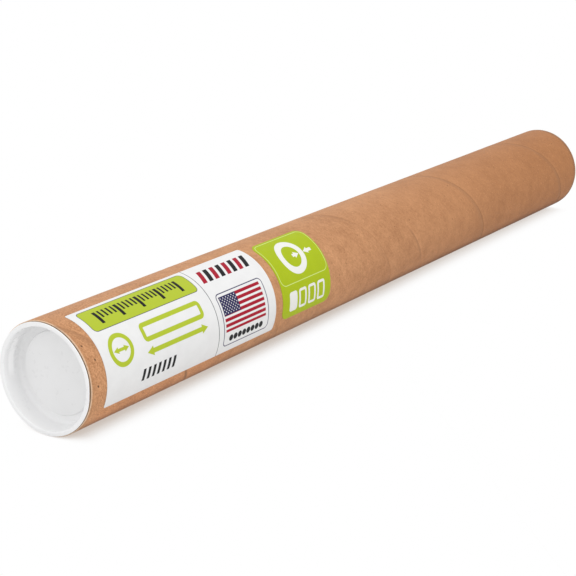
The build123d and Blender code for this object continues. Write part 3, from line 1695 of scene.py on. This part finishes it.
@dataclass
class PaperLabel:
    """A paper label that follows the outside of the tube.

    Attributes:
        tube: the tube's frame
        name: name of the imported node
        slot: material slot of the record
        artwork: the finish that prints it
        offset: distance from the near end to the label
        length: length along the tube
        width: width round the tube
        angle: angle of its middle from the top, in degrees
        corner: radius of its corners
        paper: thickness of the paper
        glue: thickness of the glue
        rows: runs across its width
        column_run: longest run along it
        corner_steps: runs in each of its corners
    """

    tube: TubeFrame
    name: str
    slot: str
    artwork: SizeLabelPrint | GradeLabelPrint
    offset: float
    length: float
    width: float
    angle: float
    corner: float
    paper: float = 0.1 * MM
    glue: float = 0.05 * MM
    rows: int = 56
    column_run: float = 2.5 * MM
    corner_steps: int = 10

    def columns(self) -> list[float]:
        """Places along the label for its columns of points, closer together at the round corners.

        Returns:
            The distances from the label's near edge.
        """
        turns = [math.pi / 2 * step / self.corner_steps for step in range(self.corner_steps + 1)]
        bends = [self.corner * (1 - math.cos(turn)) for turn in turns]
        straight = self.length - 2 * self.corner
        runs = math.ceil(straight / self.column_run)
        middle = [self.corner + straight * run / runs for run in range(1, runs)]
        return [*bends, *middle, *(self.length - bend for bend in reversed(bends))]

    def build(self) -> bpy.types.Object:
        """Builds the curved sheet and puts it in the place of its node.

        Returns:
            The piece.
        """
        inner = self.tube.radius + self.glue
        start = math.radians(self.angle) - self.width / inner / 2
        columns = self.columns()
        points: list[Point3] = []
        places: list[Point2] = []
        for radius in (inner + self.paper, inner):
            for along in columns:
                bend = max(self.corner - min(along, self.length - along), 0.0)
                inset = self.corner - math.sqrt(self.corner**2 - bend**2)
                for row in range(self.rows + 1):
                    down = inset + (self.width - 2 * inset) * row / self.rows
                    points.append(self.tube.point(self.offset + along, start + down / inner, radius))
                    places.append((along / MM, down / MM))
        mesh = closed_mesh(f"{self.name}_paper", points, self.faces(len(columns)))
        print_map = mesh.uv_layers.new(name="print")
        for loop in mesh.loops:
            print_map.data[loop.index].uv = places[loop.vertex_index]
        finishes = [self.artwork.material()]
        return finish_piece(mesh, finishes, crease=35.0, node=self.name, body="tube", slot=self.slot)

    def faces(self, columns: int) -> list[tuple[int, ...]]:
        """The faces of both sides of the sheet and of its rim.

        Args:
            columns: columns of points on each side

        Returns:
            The faces, as numbers of points.
        """
        side = self.rows + 1
        back = columns * side
        faces: list[tuple[int, ...]] = []
        for column in range(columns - 1):
            for row in range(self.rows):
                a = column * side + row
                b = a + side
                faces.append((a, a + 1, b + 1, b))
                faces.append((a + back, b + back, b + 1 + back, a + 1 + back))
        upper = range(0, back, side)
        lower = range(self.rows, back, side)
        near = range(side)
        far = range(back - side, back)
        for run in (upper, lower, near, far):
            faces.extend((a, b, b + back, a + back) for a, b in zip(run, run[1:]))
        return faces


@dataclass(frozen=True)
class SoftLamp:
    """A square lamp.

    Attributes:
        name: name of the lamp
        power: power in watts
        size: length of its sides
        place: where it hangs
        aim: where it points
    """

    name: str
    power: float
    size: float
    place: Point3
    aim: Point3

    def build(self) -> None:
        """Hangs the lamp, out of the camera's sight."""
        panel = bpy.data.lights.new(self.name, "AREA")
        panel.energy = self.power
        panel.size = self.size
        lamp = bpy.data.objects.new(self.name, panel)
        lamp.location = self.place
        away = Vector(self.place) - Vector(self.aim)
        lamp.rotation_euler = away.to_track_quat("Z", "Y").to_euler()
        lamp.visible_camera = False
        bpy.context.scene.collection.objects.link(lamp)


@dataclass(frozen=True)
class Studio:
    """A white floor under even light, with a broad lamp overhead and a narrow one beside the near end.

    Attributes:
        floor_size: length of the floor's sides
        floor_level: height of the floor
        floor_white: colour of the floor
        shadow: colour of the floor in the deepest shadow
        shadow_reach: how far from the tube the floor is shaded
        shadow_gain: how fast the shade comes up towards the tube
        shadow_samples: rays that measure how covered the floor is
        shadow_end: places along X where the shade is gone and where it is whole, by the far end
        shadow_fade: places along X between which it gets weaker
        shadow_loss: share of it that is lost there
        open_side: direction from which the floor gets most of its light
        lamps: the lamps
    """

    floor_size: float = 40.0
    floor_level: float = -0.15 * MM
    floor_white: float = 0.78
    shadow: Colour = (0.58, 0.505, 0.45)
    shadow_reach: float = 11 * MM
    shadow_gain: float = 3.4
    shadow_samples: int = 16
    shadow_end: Point2 = (0.262, 0.245)
    shadow_fade: Point2 = (-0.08, 0.16)
    shadow_loss: float = 0.36
    open_side: Point3 = (-0.8, 0.15, 0.58)
    lamps: tuple[SoftLamp, ...] = (
        SoftLamp("overhead_lamp", 1.6, 0.6, (-0.1, -0.1, 0.95), (-0.05, 0.0, 0.03)),
        SoftLamp("side_lamp", 0.8, 0.12, (-0.335, -0.85, 0.025), (-0.22, 0.0, 0.025)),
    )

    def build(self) -> None:
        """Lays the floor and sets the lights."""
        self.lay_floor()
        self.light_sky()
        for lamp in self.lamps:
            lamp.build()

    def lay_floor(self) -> None:
        """Makes the floor just below the tube."""
        half = self.floor_size / 2
        mesh = bpy.data.meshes.new("floor")
        corners = [(x * half, y * half, self.floor_level) for x, y in ((-1, -1), (1, -1), (1, 1), (-1, 1))]
        mesh.from_pydata(corners, [], [(0, 1, 2, 3)])
        mesh.materials.append(self.floor_material())
        floor = bpy.data.objects.new("floor", mesh)
        bpy.context.scene.collection.objects.link(floor)

    def floor_material(self) -> bpy.types.Material:
        """Matt white that the camera sees as plain white, shaded close to the tube.

        Returns:
            The material.
        """
        graph = ShaderGraph.of_material("floor_white")
        matt = graph.value("ShaderNodeBsdfDiffuse", {}, {"Color": (self.floor_white,) * 3})
        side = graph.value("ShaderNodeCombineXYZ", {}, dict(zip("XYZ", self.open_side)))
        sockets = {"Distance": self.shadow_reach, "Normal": side}
        settings = {"samples": self.shadow_samples}
        covered = 1 - graph.value("ShaderNodeAmbientOcclusion", settings, sockets, "AO")
        along = graph.parts(graph.place())[0]
        within = along.ease(*self.shadow_end) * (1 - self.shadow_loss * along.ease(*self.shadow_fade))
        shade = (self.shadow_gain * within * covered * covered * covered).least(1.0)
        shaded = graph.blend(shade, (1.0, 1.0, 1.0), self.shadow)
        plain = graph.value("ShaderNodeEmission", {}, {"Color": shaded, "Strength": 1.0})
        sockets = {"Fac": self.seen(graph), "Shader": matt, "Shader_001": plain}
        return graph.output(graph.value("ShaderNodeMixShader", {}, sockets))

    @staticmethod
    def seen(graph: ShaderGraph) -> Signal:
        """Tells what is seen from the light that falls on the tube.

        Args:
            graph: the nodes of a material

        Returns:
            1 for what the camera sees straight, in a gloss or through glass, and 0 for the rest.
        """
        path = graph.node("ShaderNodeLightPath", {}, {}).outputs
        names = ("Is Camera Ray", "Is Glossy Ray", "Is Transmission Ray")
        straight, glossy, through = (Signal(graph, graph.find(path, name)) for name in names)
        return straight.most(glossy).most(through)

    def light_sky(self) -> None:
        """Even white light from all round."""
        world = bpy.data.worlds.new("studio")
        bpy.context.scene.world = world
        graph = ShaderGraph(world)
        graph.output(graph.value("ShaderNodeBackground", {}, {"Color": (1.0, 1.0, 1.0), "Strength": 1.0}))


@dataclass(frozen=True)
class PhotoCamera:
    """The camera of the photograph.

    Attributes:
        position: where it stands
        heading: direction that it looks, in degrees from X towards Y
        tilt: how far it looks down, in degrees
        lens: focal length in millimetres on the usual sensor
    """

    position: Point3 = (-0.74196, -0.45658, 0.27156)
    heading: float = 33.838
    tilt: float = 17.079
    lens: float = 99.14

    def build(self) -> None:
        """Makes the camera and hands it to the scene."""
        data = bpy.data.cameras.new("photo_camera")
        data.lens = self.lens
        heading = math.radians(self.heading)
        tilt = math.radians(self.tilt)
        level = math.cos(tilt)
        look = Vector((math.cos(heading) * level, math.sin(heading) * level, -math.sin(tilt)))
        camera = bpy.data.objects.new("photo_camera", data)
        camera.location = self.position
        camera.rotation_euler = look.to_track_quat("-Z", "Y").to_euler()
        bpy.context.scene.collection.objects.link(camera)
        bpy.context.scene.camera = camera


def main() -> None:
    """Builds the dressed tube, the studio and the camera."""
    logging.basicConfig(level=logging.INFO, format="%(name)s: %(message)s")
    bpy.context.scene.view_settings.view_transform = "Standard"
    tube = TubeFrame.from_record(frame["record"])
    PaperTube(tube).build()
    for end in End:
        EndCap(tube, end).build()
    size_label_width = 51.5
    size_label = PaperLabel(
        tube, "size_label", "white_paper", SizeLabelPrint(height=size_label_width),
        offset=10.3 * MM, length=131.7 * MM, width=size_label_width * MM, angle=61.9, corner=1.2 * MM,
    )
    grade_label = PaperLabel(
        tube, "grade_label", "green_paper", GradeLabelPrint(),
        offset=148.3 * MM, length=44.9 * MM, width=46.0 * MM, angle=60.8, corner=5.0 * MM,
    )
    size_label.build()
    grade_label.build()
    Studio().build()
    PhotoCamera().build()


if __name__ == "__main__":
    main()
